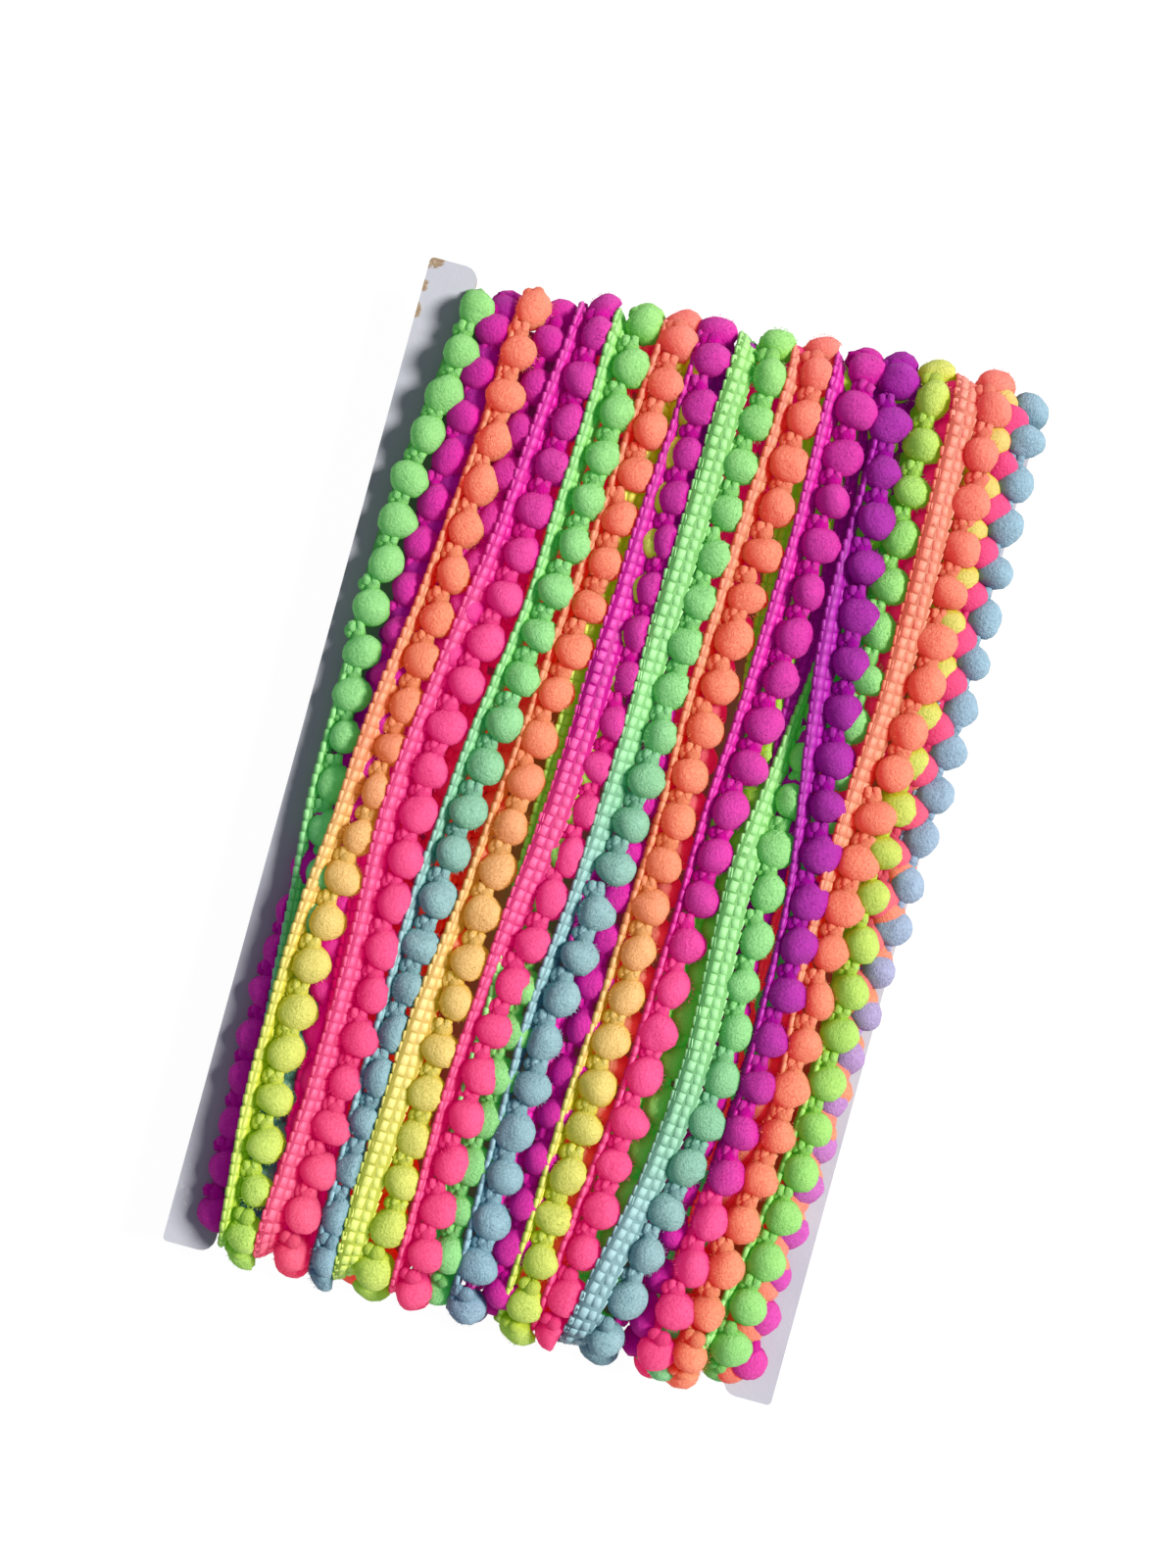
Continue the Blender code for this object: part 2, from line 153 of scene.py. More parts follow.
def smoothAlong(values, along):
    # one smooth curve through the values at the stations
    stations = np.array(winding["stations"])
    first = 2 * values[0] - values[1]
    last = 2 * values[-1] - values[-2]
    padded = np.concatenate(((first,), values, (last,)))
    along = np.clip(along, stations[-1], stations[0])
    span = np.clip(np.searchsorted(-stations, -along, side="right") - 1, 0, len(stations) - 2)
    share = (stations[span] - along) / (stations[span] - stations[span + 1])
    before, near, far, after = (padded[span + step] for step in range(4))
    slopeNear = (far - before) / 2
    slopeFar = (after - near) / 2
    cubic = 2 * (near - far) + slopeNear + slopeFar
    square = 3 * (far - near) - 2 * slopeNear - slopeFar
    return near + slopeNear * share + square * share**2 + cubic * share**3


def smoothStep(low, high, value):
    share = np.clip((value - low) / (high - low), 0.0, 1.0)
    return share * share * (3 - 2 * share)


def makeRun(strand, inner):
    # one pass of the trim over the upper side
    def height(distance):
        bottom, top = winding["liftBlend"]
        blend = smoothStep(bottom, top, distance)
        lift = strand.lifts[1] + (strand.lifts[0] - strand.lifts[1]) * blend
        return winding["cardTop"] + lift - winding["middleHeight"]

    return {"side": 1, "inner": inner, "height": height,
            "across": lambda distance: smoothAlong(strand.places, distance),
            "show": lambda distance: smoothAlong(strand.show, distance),
            "hues": strand.hues, "start": strand.start, "pitch": strand.pitch}


def makeBackRun(strand, following, inner):
    # under the card the trim goes on to where the next strand starts
    depth = winding["backDepthInner"] if inner else winding["backDepthOuter"]
    bottom = strand.places[-1]
    top = following.places[0]

    def across(distance):
        share = np.clip(0.5 - 0.5 * distance / winding["backHalf"], 0.0, 1.0)
        return top + (bottom - top) * share

    def show(distance):
        atEnd = np.where(distance > 0, following.show[0], strand.show[-1])
        blend = smoothStep(*winding["backEnd"], np.abs(distance))
        return winding["backShow"] + (atEnd - winding["backShow"]) * blend

    hueTop = following.hues[0]
    while hueTop < strand.hues[-1]:
        hueTop += 1.0
    if max(following.hues + strand.hues) > dye["paleFrom"]:
        hueTop = strand.hues[-1]
    return {"side": -1, "inner": inner, "height": lambda distance: depth + 0.0 * distance,
            "across": across, "show": show, "hues": (hueTop, strand.hues[-1]),
            "pitch": winding["backPitch"]}


def shoulderOf(run):
    return winding["shoulder"] - (winding["innerInset"] if run["inner"] else 0.0)


def reachOf(run, distance):
    place = run["across"](distance)
    top = winding["topEnd"] + winding["topEndSkew"] * place
    reach = np.where(distance > 0, top, winding["bottomEnd"])
    return reach - (winding["innerInset"] if run["inner"] else 0.0)


def arcOf(run, distance):
    height = run["height"](distance)
    return math.pi / 2 * np.sqrt((shoulderOf(run) ** 2 + height**2) / 2)


def levelOf(run, distance):
    # how far it runs level before it turns down
    return reachOf(run, distance) - shoulderOf(run)


def endOf(run, top):
    # length along the run from the card's middle to mid height at that end
    far = np.array(winding["stations"][0] if top else winding["stations"][-1])
    return float(levelOf(run, far) + arcOf(run, far))


def centreLine(run, distance):
    # level over the card, then a quarter of an ellipse down to its middle
    height = run["height"](distance)
    shoulder = shoulderOf(run)
    level = levelOf(run, distance)
    beyond = np.abs(distance) - level
    angle = np.clip(beyond / arcOf(run, distance), 0.0, None) * math.pi / 2
    sign = np.sign(distance)
    along = np.where(beyond > 0, sign * (level + shoulder * np.sin(angle)), distance)
    place = run["across"](distance)
    side = run["side"]
    up = winding["middleHeight"] + side * height * np.cos(angle)
    outward = (0 * angle, sign * np.sin(angle) / shoulder, side * np.cos(angle) / height)
    return np.stack((place, along, up), axis=-1), np.stack(outward, axis=-1)


def unit(vectors):
    return vectors / np.linalg.norm(vectors, axis=-1, keepdims=True)


def frameAlong(run, distance):
    # point, direction towards the top end, outward direction, and across towards +x
    step = 0.2  # how far ahead and behind its direction is taken
    points, outward = centreLine(run, distance)
    forward = unit(centreLine(run, distance + step)[0] - centreLine(run, distance - step)[0])
    across = unit(np.cross(forward, outward)) * run["side"]
    outward = unit(np.cross(across, forward)) * run["side"]
    return points, forward, outward, across


def hueAlong(run, distance):
    places = np.linspace(-endOf(run, False), endOf(run, True), len(run["hues"]))
    hues = np.interp(distance, places, run["hues"][::-1])
    pale = run["hues"][-1] > dye["paleFrom"]
    return hues if pale else np.where(hues > dye["wrapFrom"], hues - 1.0, hues)


# Mesh helpers


def templateBall(subdivisions):
    body = bmesh.new()
    bmesh.ops.create_icosphere(body, subdivisions=subdivisions, radius=1.0)
    points = np.array([vertex.co[:] for vertex in body.verts])
    faces = np.array([[vertex.index for vertex in face.verts] for face in body.faces])
    body.free()
    return points, faces


lobe = {
    "ringPlace": 0.74,
    "ringSize": 0.97,
    "crease": 0.62,  # how high a fine one stands along its middle
    "fineSides": 8,
}


def templateLobe(sides):
    # a plump lobe: two rings and two tips, long in its first direction, a fine one creased
    crease = lobe["crease"] if sides == lobe["fineSides"] else 1.0
    points = [(-1.0, 0.0, 0.0)]
    for along in (-lobe["ringPlace"], lobe["ringPlace"]):
        for side in range(sides):
            angle = 2 * math.pi * side / sides
            height = lobe["ringSize"] * math.sin(angle)
            if 4 * side == sides:
                height *= crease
            points.append((along, lobe["ringSize"] * math.cos(angle), height))
    points.append((1.0, 0.0, 0.0))
    faces = []
    last = len(points) - 1
    for side in range(sides):
        a, b = 1 + side, 1 + (side + 1) % sides
        c, d = a + sides, b + sides
        faces += [(0, b, a), (a, b, d), (a, d, c), (c, d, last)]
    return np.array(points), np.array(faces)


class Heap:
    # gathers the copies that are joined into one mesh, with the painted shade of each point
    def __init__(self, depth):
        self.depth = depth
        self.points = []
        self.faces = []
        self.hues = []
        self.paintedShades = []
        self.count = 0

    def add(self, points, faces, hues, paintedShades):
        points[:, 2] = np.maximum(points[:, 2], winding["restHeight"])
        self.points.append(points)
        self.faces.append(faces + self.count)
        self.hues.append(hues)
        # its depth is painted shade added to every point of this heap
        self.paintedShades.append(np.minimum(np.broadcast_to(paintedShades, hues.shape) + self.depth, 1.0))
        self.count += len(points)

    def scatter(self, template, centres, axes, sizes, hues, paintedShades, pressed=None):
        # copies of the template at the centres, its three directions along the axes
        shape, faces = template
        scaled = shape[None, :, :] * sizes[:, None, :]
        points = centres[:, None, :] + sum(
            scaled[:, :, index, None] * axes[index][:, None, :] for index in range(3)
        )
        points = points.reshape(-1, 3)
        if pressed is not None:
            distances, neighbour, under = pressed
            under = np.repeat(under, len(shape))
            along = np.repeat(distances, len(shape))[under]
            points[under] = pressUnder(points[under], along, neighbour)[0]
        offsets = np.arange(len(centres))[:, None, None] * len(shape)
        faces = (faces[None, :, :] + offsets).reshape(-1, faces.shape[1])
        self.add(points, faces, np.repeat(hues, len(shape)), np.tile(paintedShades, len(centres)))


def makePiece(name, heap, material):
    points = np.concatenate(heap.points)
    faces = np.concatenate(heap.faces)
    world = points * mm + np.array(cardMiddle)
    mesh = bpy.data.meshes.new(name)
    mesh.from_pydata(world.tolist(), [], faces.tolist())
    # the depth attribute carries the painted shade
    for label, values in (("hue", heap.hues), ("depth", heap.paintedShades)):
        attribute = mesh.attributes.new(label, "FLOAT", "POINT")
        attribute.data.foreach_set("value", np.concatenate(values).astype(np.float32))
    mesh.shade_smooth()
    mesh.materials.append(material)
    piece = bpy.data.objects.new(name, mesh)
    bpy.context.scene.collection.objects.link(piece)
    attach(piece, "root")
    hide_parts("winding")
    print(name, len(faces), "faces")


# Pompoms

pompom = {
    "radius": 4.2,
    "long": 0.98,
    "taper": 0.13,  # how much it narrows towards its tie
    "sizeChange": 0.05,
    "lump": 0.042,
    "lumpWaves": (2.6, 1.7),
    "uneven": 0.018,  # how roughly it is trimmed
    "shift": (0.3, 0.3, 0.3),  # along, across, out
    "shiftSpread": 0.6,
    "leanSpread": 0.12,
    # the tied neck, as lobes: along, across, out, and half of each size
    "tie": (
        (4.3, -0.8, 0.1, 2.3, 1.85, 1.65),
        (4.4, -2.6, -0.4, 1.8, 1.50, 1.30),
    ),
    # the tufts at its end, the same way
    "threads": (
        (5.4, -2.0, 0.5, 1.30, 1.05, 1.05),
        (5.5, -0.3, 0.7, 1.30, 1.05, 1.05),
    ),
    "tieChange": (0.9, 1.1),
    # painted shade on the ties
    "tiePaintedShade": 0.25,
    "tuftSides": 6,
    "hairs": 220,
    "hairLength": (0.35, 0.9),
    "hairWidth": 0.13,
    "hairLean": 0.45,
    "hairRoot": 0.97,  # share of the radius where a fibre starts
    "paintedUnderShade": 0.6,  # painted shade, a darker and fuller colour on their undersides
    "underFrom": (0.3, -0.9),
    "paintedPressShade": 0.3,  # painted shade added for each millimetre that they are pressed under the next braid
    "mostPaintedShade": 0.8,
}


def ballDistances(run):
    high, low = endOf(run, True), -endOf(run, False)
    first = math.ceil((low - run["start"]) / run["pitch"])
    last = math.floor((high - run["start"]) / run["pitch"])
    return run["start"] + run["pitch"] * np.arange(first, last + 1)


def backDistances(run, ahead, behind):
    # carries on from the strands of the upper side that meet it at each end
    bottomGap = endOf(behind, False) + ballDistances(behind)[0]
    topGap = endOf(ahead, True) - ballDistances(ahead)[-1]
    total = bottomGap + endOf(run, True) + endOf(run, False) + topGap
    count = round(total / run["pitch"])
    return np.arange(1, count) * total / count - bottomGap - endOf(run, False)


def heightOver(points, distances, neighbour):
    # how far the points are over the next strand's braid, and how far in from its edge
    edge, forward, direction, face = braidFrame(neighbour, distances)
    offset = points - edge
    return np.sum(offset * face, axis=-1), np.sum(offset * direction, axis=-1), face


def pressUnder(points, distances, neighbour):
    # what lies over the next strand's braid is pushed under it, as the braid presses it
    over, inside, face = heightOver(points, distances, neighbour)
    room = braid["edgeRoom"] * np.clip(-inside, 0.0, None) - braid["press"]
    push = np.clip(over - room, 0.0, None)
    return points - push[:, None] * face, push


def liesUnder(centres, distances, neighbour):
    # a strand that lies higher than the next one is left as it is
    if neighbour is None:
        return np.zeros(len(centres), dtype=bool)
    return heightOver(centres, distances, neighbour)[0] < braid["press"]


def addPompoms(heap, run, neighbour, distances, template, rng):
    count = len(distances)
    points, forward, outward, across = frameAlong(run, distances)
    shifts = rng.normal(0.0, pompom["shiftSpread"], (count, 3)) * pompom["shift"]
    centres = (points + shifts[:, :1] * forward + shifts[:, 1:2] * across
               + shifts[:, 2:] * outward)
    turn = rng.normal(0.0, pompom["leanSpread"], (count, 1))
    lean = unit(forward + turn * across)
    sideways = unit(across - turn * forward)
    size = pompom["radius"] * (1 + pompom["sizeChange"] * rng.normal(0.0, 1.0, (count, 3)))
    ball, faces = template
    narrow = 1 - pompom["taper"] * np.clip(ball[:, 0], 0.0, 1.0) ** 2
    formed = ball * np.stack((np.full_like(narrow, pompom["long"]), narrow, narrow), axis=-1)
    phase = rng.uniform(0.0, 2 * math.pi, (count, 3))
    main, cross = pompom["lumpWaves"]
    waves = sum(
        np.sin(main * ball[None, :, axis] + cross * ball[None, :, (axis + 1) % 3]
               + phase[:, axis, None])
        for axis in range(3)
    )
    rough = pompom["uneven"] * rng.normal(0.0, 1.0, waves.shape)
    formed = formed[None] * (1 + pompom["lump"] * waves + rough)[:, :, None] * size[:, None, :]
    placed = (centres[:, None, :] + formed[:, :, 0, None] * lean[:, None, :]
              + formed[:, :, 1, None] * sideways[:, None, :]
              + formed[:, :, 2, None] * outward[:, None, :]).reshape(-1, 3)
    # painted shade on the undersides, and more where they are pressed under the next braid
    underside = smoothStep(*pompom["underFrom"], ball[:, 2])
    paintedShades = np.tile(pompom["paintedUnderShade"] * underside, count)
    under = np.repeat(liesUnder(centres, distances, neighbour), len(ball))
    if under.any():
        along = (distances[:, None] + formed[:, :, 0]).reshape(-1)[under]
        placed[under], push = pressUnder(placed[under], along, neighbour)
        pressedShade = paintedShades[under] + pompom["paintedPressShade"] * push
        paintedShades[under] = np.clip(pressedShade, 0.0, pompom["mostPaintedShade"])
    offsets = np.arange(count)[:, None, None] * len(ball)
    hues = np.repeat(hueAlong(run, distances), len(ball))
    heap.add(placed, (faces[None] + offsets).reshape(-1, 3), hues, paintedShades)
    return centres, lean, sideways, outward


def addTies(heap, run, neighbour, distances, axes, template, rng):
    # the neck that ties each pompom to the braid and meets the pompom before it
    centres, lean, sideways, outward = axes
    count = len(distances)
    hues = hueAlong(run, distances)
    under = liesUnder(centres, distances, neighbour)
    tuft = templateLobe(pompom["tuftSides"])
    # the ties get painted shade, the tufts none
    parts = [(part, template, pompom["tiePaintedShade"], False) for part in pompom["tie"]]
    parts += [(part, tuft, 0.0, True) for part in pompom["threads"]]
    level = np.abs(distances) < levelOf(run, distances)
    for (along, side, out, halfLong, halfWide, halfOut), form, depth, levelOnly in parts:
        # the tufts are smoothed down where the strand turns round the card's end
        keep = level | (not levelOnly)
        change = rng.uniform(*pompom["tieChange"], (count, 3))
        middle = centres + along * lean + side * sideways + out * outward
        sizes = np.array((halfLong, halfWide, halfOut)) * change
        pressed = (distances[keep] + along, neighbour, under[keep]) if under.any() else None
        heap.scatter(form, middle[keep], (lean[keep], sideways[keep], outward[keep]),
                     sizes[keep], hues[keep], np.full(len(form[0]), depth), pressed)


def addFuzz(heap, run, neighbour, distances, axes, rng):
    # short fibres that stand off each pompom
    hairs = pompom["hairs"]
    shape = (len(distances), hairs, 3)
    aims = unit(rng.normal(0.0, 1.0, shape))
    lean = unit(aims + rng.normal(0.0, pompom["hairLean"], shape))
    beside = unit(np.cross(aims, rng.normal(0.0, 1.0, shape)))
    length = rng.uniform(*pompom["hairLength"], shape[:2] + (1,))
    root = axes[0][:, None, :] + aims * (pompom["radius"] * pompom["hairRoot"])
    half = beside * pompom["hairWidth"] / 2
    corners = np.stack((root - half, root + half, root + lean * length), axis=2)
    corners = corners.reshape(-1, 3, 3)
    hues = np.repeat(hueAlong(run, distances), hairs)
    under = np.repeat(liesUnder(axes[0], distances, neighbour), hairs)
    if under.any():
        # those that would come through the next strand's braid are left out
        keep = np.ones(len(corners), dtype=bool)
        along = np.repeat(distances, hairs)[under]
        keep[under] = pressUnder(corners[under, 2], along, neighbour)[1] == 0
        corners = corners[keep]
        hues = hues[keep]
    points = corners.reshape(-1, 3)
    faces = np.arange(len(points)).reshape(-1, 3)
    heap.add(points, faces, np.repeat(hues, 3), 0.0)


# Braid

braid = {
    "width": 5.9,
    "rowPitch": 2.45,
    "gap": 3.35,  # from the pompoms' middles to its near edge, beside what shows of it
    "wall": -3.0,  # the least that shows, where the pompoms lie over it
    # place across, half length, half width and half thickness of the stitches in one row
    "stitches": (
        (0.48, 1.24, 0.60, 0.72),
        (1.95, 1.34, 1.03, 0.98),
        (4.00, 1.34, 1.03, 0.96),
        (5.45, 1.22, 0.56, 0.68),
    ),
    "slant": 0.13,
    "sizeChange": (0.9, 1.08),
    "looseness": 0.09,
    "shadeStep": 0.04,  # painted shade that grows from one stitch to the next towards the pompoms
    # painted shade on the stitches' undersides
    "paintedUnderShade": 0.65,
    "underFrom": (0.3, -0.5),
    "coreHalf": 0.5,
    "coreInset": 0.3,
    # painted shade on the core band, dark between the rows
    "corePaintedShade": 0.5,
    "sway": 0.3,
    "swayLengths": (17, 7),
    "secondSway": 0.6,
    "swayStarts": (1.9, 2.7),  # how far each strand's sway starts after the last one's
    # height of its edge over the pompoms' middles, more where it is wide, and how fast it
    # sinks where the pompoms cover it
    "tilt": (1.5, 1.1, 0.9),
    "wide": (1.0, 4.5),
    "endSink": 0.7,  # how much of that height it loses where it turns down
    "endTurn": (0.0, 0.8),
    "leastDrop": 0.05,
    "press": 0.85,  # how far under its middle the neighbours are pushed
    "edgeRoom": 3.0,
}


def braidFrame(run, distance):
    # left edge of the braid, along it, across it, and its own outward direction
    points, forward, outward, across = frameAlong(run, distance)
    first, second = run["sway"]
    slow, quick = braid["swayLengths"]
    sway = np.sin(distance / slow + first)
    sway = sway + braid["secondSway"] * np.sin(distance / quick + second)
    width = run["show"](distance) + braid["sway"] * sway
    width = np.clip(width, braid["wall"], braid["width"] - braid["leastDrop"])
    beyond = (np.abs(distance) - levelOf(run, distance)) / arcOf(run, distance)
    turned = smoothStep(*braid["endTurn"], beyond)
    low, more, sink = braid["tilt"]
    raised = low + more * smoothStep(*braid["wide"], width) + sink * np.minimum(width, 0.0)
    raised *= 1 - braid["endSink"] * turned
    drop = np.sqrt(braid["width"] ** 2 - width**2)
    left = -(braid["gap"] + width)
    edge = points + left[:, None] * across + raised[:, None] * outward
    span = width[:, None] * across - drop[:, None] * outward
    direction = unit(span)
    face = unit(np.cross(direction, forward)) * run["side"]
    return edge, forward, direction, face


def addBraid(heap, run, lobeSides, step, rng):
    high, low = endOf(run, True), -endOf(run, False)
    rows = int((high - low) / braid["rowPitch"])
    distance = low + (high - low) * (np.arange(rows) + 0.5) / rows
    edge, forward, direction, face = braidFrame(run, distance)
    hues = hueAlong(run, distance)
    stitch = templateLobe(lobeSides)
    # painted shade on the undersides, and more with each stitch towards the pompoms
    underside = braid["paintedUnderShade"] * smoothStep(*braid["underFrom"], stitch[0][:, 2])
    for index, (place, *halfSizes) in enumerate(braid["stitches"][::step]):
        slant = braid["slant"] * (1 if index % 2 else -1)
        sizes = np.array(halfSizes) * rng.uniform(*braid["sizeChange"], (rows, 3))
        shift = rng.normal(0.0, braid["looseness"], (rows, 2))
        middle = edge + (place + shift[:, :1]) * direction + shift[:, 1:] * forward
        aim = unit(forward + slant * direction)
        beside = unit(direction - slant * forward)
        paintedShades = np.clip(braid["shadeStep"] * index + underside, 0.0, 1.0)
        heap.scatter(stitch, middle, (aim, beside, face), sizes, hues, paintedShades)
    addCore(heap, edge, direction, face, hues)


def addCore(heap, edge, direction, face, hues):
    # the flat band that holds the stitches together, its colour under painted shade
    half = braid["coreHalf"]
    near = braid["coreInset"]
    far = braid["width"] - near
    corners = ((near, -half), (far, -half), (far, half), (near, half))
    rings = np.stack([edge + place * direction + up * face for place, up in corners], axis=1)
    faces = []
    for row in range(len(rings) - 1):
        for corner in range(4):
            a = row * 4 + corner
            b = row * 4 + (corner + 1) % 4
            faces += [(a, b, b + 4), (a, b + 4, a + 4)]
    last = (len(rings) - 1) * 4
    faces += [(0, 2, 1), (0, 3, 2), (last, last + 1, last + 2), (last, last + 2, last + 3)]
    heap.add(rings.reshape(-1, 3), np.array(faces), np.repeat(hues, 4), braid["corePaintedShade"])


# Finishes

noiseRange = (0.3, 0.7)  # where most of a noise's values lie
# painted shade in the crevices, from ambient occlusion
crevices = {
    "samples": 4,
    "reach": 5.0,
    "open": (0.15, 0.80),  # from closed in to open
}


class Finish:
    # short calls for building one material
    def __init__(self, name):
        self.material = bpy.data.materials.new(name)
        self.material.use_nodes = True
        self.material.cycles.emission_sampling = "NONE"
        self.tree = self.material.node_tree
        self.shader = self.tree.nodes["Principled BSDF"]

    def add(self, kind, **settings):
        node = self.tree.nodes.new(kind)
        for key, value in settings.items():
            setattr(node, key, value)
        return node

    def feed(self, socket, value):
        # a number or colour is set on the socket, and another node's result is linked
        if isinstance(value, bpy.types.NodeSocket):
            self.tree.links.new(value, socket)
        elif isinstance(value, tuple):
            socket.default_value = value + (1.0,)
        else:
            socket.default_value = value

    def surface(self, **values):
        for label, value in values.items():
            self.feed(self.shader.inputs[label.replace("_", " ")], value)

    def place(self):
        return self.add("ShaderNodeTexCoord").outputs["Object"]

    def attribute(self, label):
        return self.add("ShaderNodeAttribute", attribute_name=label).outputs["Fac"]

    def creviceShade(self):
        # 1 closed in between its neighbours, 0 in the open, for painted shade in the crevices
        node = self.add("ShaderNodeAmbientOcclusion", samples=crevices["samples"])
        self.feed(node.inputs["Distance"], crevices["reach"] * mm)
        return self.spread(node.outputs["AO"], *crevices["open"], 1.0, 0.0)

    def facing(self, direction):
        # 1 where it faces this direction, -1 where it faces away
        node = self.add("ShaderNodeVectorMath", operation="DOT_PRODUCT")
        self.feed(node.inputs[0], self.add("ShaderNodeTexCoord").outputs["Normal"])
        node.inputs[1].default_value = Vector(direction).normalized()
        return node.outputs["Value"]

    def part(self, label, axis):
        node = self.add("ShaderNodeSeparateXYZ")
        self.feed(node.inputs[0], self.add("ShaderNodeTexCoord").outputs[label])
        return node.outputs[axis]

    def nearness(self, across, along):
        # distance in millimetres from this place of the card, seen from above
        spot = cardMiddle + Vector((across, along, 0.0)) * mm
        sideways = self.math("SUBTRACT", self.part("Object", "X"), spot.x)
        lengthwise = self.math("SUBTRACT", self.part("Object", "Y"), spot.y)
        squares = [self.math("MULTIPLY", value, value) for value in (sideways, lengthwise)]
        return self.math("DIVIDE", self.math("POWER", self.math("ADD", *squares), 0.5), mm)

    def noise(self, scale, detail, roughness):
        node = self.add("ShaderNodeTexNoise")
        self.feed(node.inputs["Vector"], self.place())
        self.feed(node.inputs["Scale"], scale)
        self.feed(node.inputs["Detail"], detail)
        self.feed(node.inputs["Roughness"], roughness)
        return node.outputs["Fac"]

    def math(self, operation, first, second):
        node = self.add("ShaderNodeMath", operation=operation)
        self.feed(node.inputs[0], first)
        self.feed(node.inputs[1], second)
        return node.outputs[0]

    def spread(self, value, low, high, newLow, newHigh):
        node = self.add("ShaderNodeMapRange")
        for socket, number in zip(node.inputs, (value, low, high, newLow, newHigh)):
            self.feed(socket, number)
        return node.outputs["Result"]

    def mix(self, share, first, second):
        node = self.add("ShaderNodeMix", data_type="RGBA")
        for socket, value in zip((node.inputs[0], node.inputs[6], node.inputs[7]),
                                 (share, first, second)):
            self.feed(socket, value)
        return node.outputs[2]

    def brighten(self, colour, value, saturation=1.0):
        node = self.add("ShaderNodeHueSaturation")
        self.feed(node.inputs["Saturation"], saturation)
        self.feed(node.inputs["Value"], value)
        self.feed(node.inputs["Color"], colour)
        return node.outputs["Color"]

    def ramp(self, stops, value):
        node = self.add("ShaderNodeValToRGB")
        elements = node.color_ramp.elements
        low = stops[0][0]
        high = stops[-1][0]
        for index, (place, colour) in enumerate(stops):
            position = (place - low) / (high - low)
            stop = elements[index] if index < 2 else elements.new(position)
            stop.position = position
            stop.color = colour + (1.0,)
        self.feed(node.inputs["Fac"], self.spread(value, low, high, 0.0, 1.0))
        return node.outputs["Color"]

    def bump(self, height, strength, distance):
        node = self.add("ShaderNodeBump")
        self.feed(node.inputs["Strength"], strength)
        self.feed(node.inputs["Distance"], distance)
        self.feed(node.inputs["Height"], height)
        self.feed(self.shader.inputs["Normal"], node.outputs["Normal"])


# place in the run of colours, and the colour there (linear)
trimColours = (
    (-0.100, (0.335, 0.174, 0.235)),
    (-0.040, (0.313, 0.234, 0.171)),
    (0.000, (0.298, 0.259, 0.166)),
    (0.100, (0.317, 0.285, 0.166)),
    (0.130, (0.453, 0.251, 0.170)),
    (0.150, (0.525, 0.366, 0.198)),
    (0.180, (0.631, 0.430, 0.214)),
    (0.200, (0.568, 0.478, 0.181)),
    (0.225, (0.536, 0.500, 0.156)),
    (0.260, (0.437, 0.523, 0.157)),
    (0.300, (0.344, 0.519, 0.184)),
    (0.340, (0.315, 0.508, 0.219)),
    (0.410, (0.306, 0.514, 0.246)),
    (0.435, (0.270, 0.453, 0.307)),
    (0.460, (0.300, 0.447, 0.435)),
    (0.560, (0.280, 0.413, 0.459)),
    (0.585, (0.407, 0.257, 0.463)),
    (0.605, (0.345, 0.045, 0.300)),
    (0.640, (0.385, 0.052, 0.305)),
    (0.670, (0.431, 0.055, 0.256)),
    (0.710, (0.574, 0.074, 0.306)),
    (0.750, (0.514, 0.074, 0.269)),
    (0.790, (0.392, 0.112, 0.205)),
    (0.920, (0.340, 0.107, 0.175)),
    (0.965, (0.317, 0.153, 0.164)),
    (1.000, (0.298, 0.241, 0.169)),
    (1.100, (0.317, 0.285, 0.179)),
    (1.240, (0.317, 0.458, 0.522)),
    (1.300, (0.337, 0.435, 0.529)),
    (1.350, (0.442, 0.282, 0.501)),
    (1.400, (0.427, 0.104, 0.364)),
    (1.450, (0.436, 0.082, 0.251)),
)
# the same for the painted glow: emission that lifts the neon colours in their shade, standing in
# for the light they throw on each other
trimPaintedGlow = (
    (-0.100, (0.62, 0.00, 0.05)),
    (0.000, (0.66, 0.00, 0.00)),
    (0.100, (0.64, 0.00, 0.00)),
    (0.150, (0.38, 0.12, 0.01)),
    (0.180, (0.24, 0.18, 0.00)),
    (0.225, (0.10, 0.22, 0.00)),
    (0.300, (0.01, 0.20, 0.01)),
    (0.410, (0.01, 0.19, 0.03)),
    (0.460, (0.00, 0.03, 0.05)),
    (0.560, (0.00, 0.02, 0.05)),
    (0.600, (0.06, 0.00, 0.06)),
    (0.670, (0.10, 0.00, 0.08)),
    (0.740, (0.16, 0.00, 0.08)),
    (0.790, (0.55, 0.00, 0.10)),
    (0.930, (0.62, 0.00, 0.08)),
    (1.000, (0.66, 0.00, 0.01)),
    (1.100, (0.64, 0.00, 0.00)),
    (1.240, (0.00, 0.02, 0.04)),
    (1.350, (0.05, 0.00, 0.05)),
    (1.450, (0.40, 0.00, 0.10)),
)

paintedSunGlow = {
    "from": (0.76, 0.32, 0.79),  # painted glow, brightest on the side facing the sun
    "facing": (-0.4, 1.0),
    "strength": (0.78, 1.16),
}

# the noises of a finish are its scale, detail and roughness
velvet = {
    "speckle": (1500.0, 3.0, 0.7),
    "speckleShade": (-0.19, 0.17),
    "patches": (420.0, 2.0, 0.5),
    "patchShade": (0.94, 1.05),
    "pile": (1500.0, 4.0, 0.7),
    "bumpStrength": 1.0,
    "bumpDistance": 0.0007,
    "roughness": 0.95,
    "specular": 0.1,
    "sheen": 0.06,
    "sheenRoughness": 0.5,
    "saturation": 1.04,
    # painted shade: how much the colour is darkened, made fuller and made less glowing where the
    # depth attribute and the crevices paint shade
    "shade": 0.75,
    "fuller": 0.5,
    "dimmer": 0.55,
}
yarn = {
    "fibres": (1900.0, 2.0, 0.6),
    "fibreShade": (0.98, 1.2),
    "saturation": 0.97,
    "bumpStrength": 0.5,
    "bumpDistance": 0.0001,
    "roughness": 0.55,
    "specular": 0.25,
    "sheen": 0.05,
    # painted shade, as for the velvet
    "shade": 0.85,
    "fuller": 0.45,
    "dimmer": 0.55,
}


